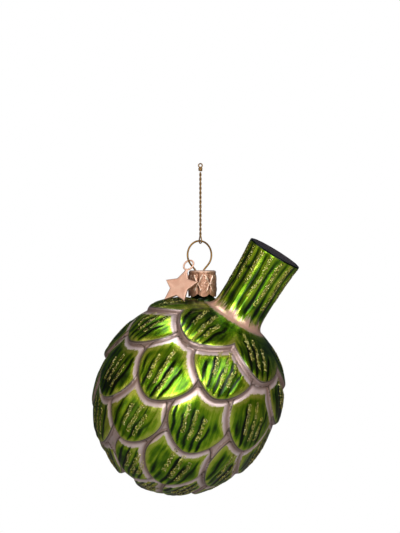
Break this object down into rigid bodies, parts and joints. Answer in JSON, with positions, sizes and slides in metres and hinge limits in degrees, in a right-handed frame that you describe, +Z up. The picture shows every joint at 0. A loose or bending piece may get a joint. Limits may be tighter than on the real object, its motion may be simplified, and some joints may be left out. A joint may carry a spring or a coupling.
{
  "type": "artichoke ornament",
  "caption": "Hollow glass artichoke with moulded bracts and stem, hung head down from a metal cap, wire ring and cord, with a star charm.",
  "frame": {"origin": "top of the small eye at the upper end of the hanging cord, where the ornament is hung", "axes": "+Z up, along the hanging cord; the ornament is seen along +Y, with its stem to the right, towards +X"},
  "size_m": [0.0798, 0.0713, 0.128],
  "materials": {
    "lacquered_glass": "silvered inside; transparent green lacquer on the bracts and stem, taupe pearl in the grooves, gold flakes",
    "rose_gold_cap": "stamped and embossed, bright",
    "hanger_wire": "bright drawn wire, antique gold",
    "charm": "cast, satin rose gold",
    "cord": "two strands of gold metallic yarn, twisted"
  },
  "bodies": {
    "knot": {"cord_knot": "cord"},
    "cord": {"hanging_cord": "cord"},
    "hanger": {"hanger_wire": "hanger_wire", "crown_cap": "rose_gold_cap"},
    "charm": {"star_charm": "charm"},
    "glass": {"glass_shell": "lacquered_glass", "glass_neck": "lacquered_glass"}
  },
  "joints": [
    {"name": "cord_twist", "type": "hinge", "parent": "knot", "child": "cord", "pos_m": [0, 0, -0.0032], "axis": [0, 0, 1], "range_deg": [-180, 180]},
    {"name": "ornament_swing", "type": "hinge", "parent": "cord", "child": "hanger", "pos_m": [0, 0, -0.03], "axis": [0.848, 0.5299, 0], "range_deg": [-60, 60]},
    {"name": "charm_swing", "type": "hinge", "parent": "hanger", "child": "charm", "pos_m": [-0.0039, -0.00244, -0.0388], "axis": [-0.8476, 0.5306, 0], "range_deg": [0, 60]},
    {"name": "glass_pull", "type": "slide", "parent": "hanger", "child": "glass", "axis": [0, 0, -1], "range_m": [0, 0.014]}
  ]
}
